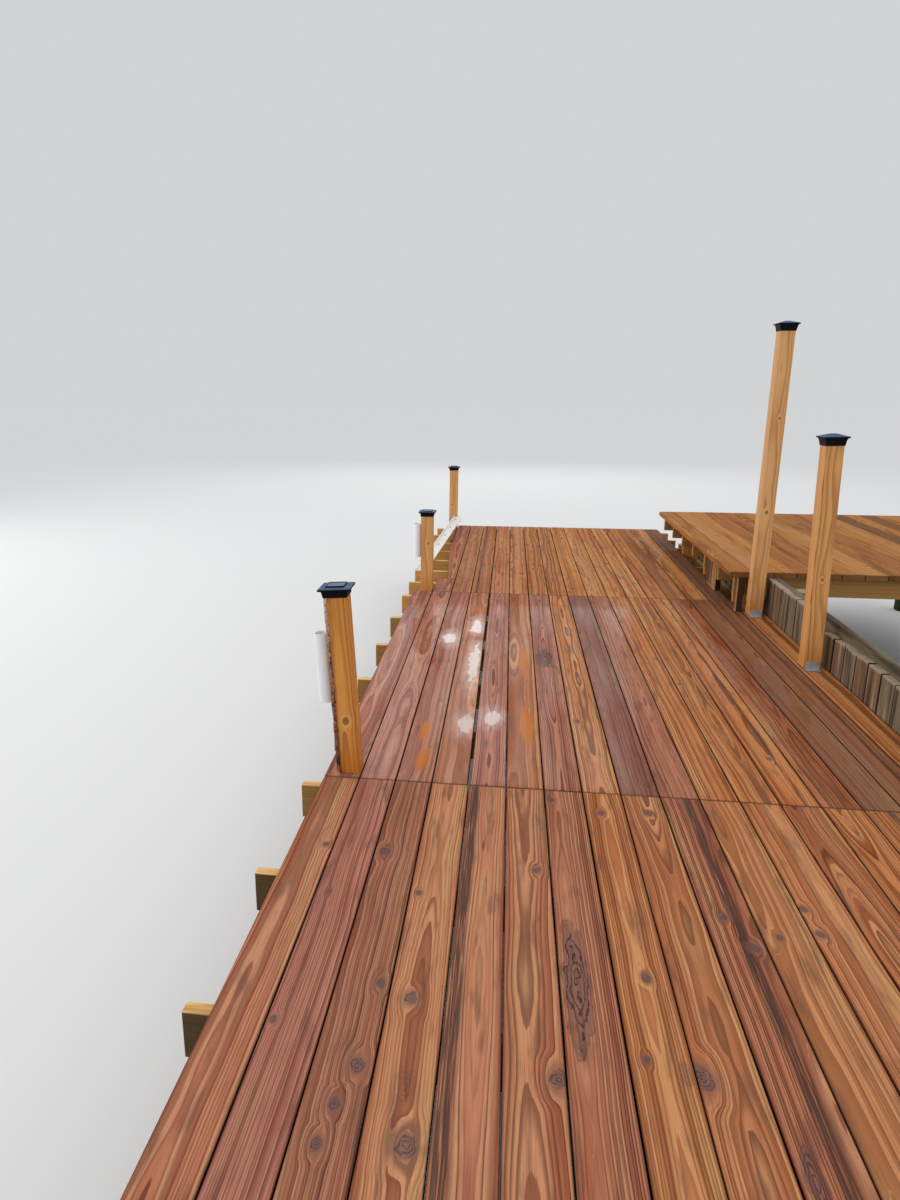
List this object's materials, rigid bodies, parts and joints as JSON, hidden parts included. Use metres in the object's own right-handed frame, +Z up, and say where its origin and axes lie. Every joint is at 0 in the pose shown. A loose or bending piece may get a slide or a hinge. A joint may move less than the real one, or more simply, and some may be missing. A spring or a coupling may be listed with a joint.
{
  "type": "timber jetty with a raised deck",
  "caption": "Boarded timber jetty on square posts beside a plank bank wall, with capped posts, pipe rod holders and a raised deck on the land side.",
  "frame": {"origin": "middle of the footprint, on the water line where the posts end", "axes": "+Y along the jetty, away from the picture's camera; +X from the water to the land; +Z up"},
  "size_m": [4.734, 9.144, 2.54],
  "materials": {
    "wet_boards": "wet stained pine",
    "raised_boards": "stained pine",
    "framing": "treated pine",
    "honey_posts": "planed pine",
    "grey_planks": "weathered",
    "black_caps": "satin",
    "panel_glass": "gloss",
    "white_pipe": "satin",
    "zinc_plate": "galvanised",
    "white_vinyl": "chalky"
  },
  "bodies": {
    "root": {"deck_boards_near": "wet_boards", "deck_boards_middle": "wet_boards", "deck_boards_far": "wet_boards", "deck_joists_near": "framing", "deck_joists_middle": "framing", "deck_joists_far": "framing", "water_beam_outer": "framing", "water_beam_inner": "framing", "wall_ledger": "framing", "water_post_1": "honey_posts", "water_post_2": "honey_posts", "water_post_3": "honey_posts", "water_post_4": "honey_posts", "water_cap_1": "black_caps", "water_cap_2": "black_caps", "water_cap_3": "black_caps", "water_cap_4": "black_caps", "cap_panels": "panel_glass", "rod_holder_near": "white_pipe", "rod_holder_far": "white_pipe", "shore_post_near": "honey_posts", "shore_post_far": "honey_posts", "shore_cap_near": "black_caps", "shore_cap_far": "black_caps", "shore_shoe_near": "zinc_plate", "shore_shoe_far": "zinc_plate", "wall_planks_near": "grey_planks", "wall_planks_middle": "grey_planks", "wall_planks_far": "grey_planks", "wall_wale": "grey_planks", "wall_wale_far": "grey_planks", "wall_wale_low": "grey_planks", "wall_posts": "grey_planks", "raised_boards": "raised_boards", "raised_joists": "framing", "raised_rim": "framing", "raised_props": "honey_posts", "raised_skirt": "grey_planks", "raised_land_beam": "framing", "raised_land_posts": "grey_planks", "edge_bumper": "white_vinyl"}
  },
  "joints": []
}
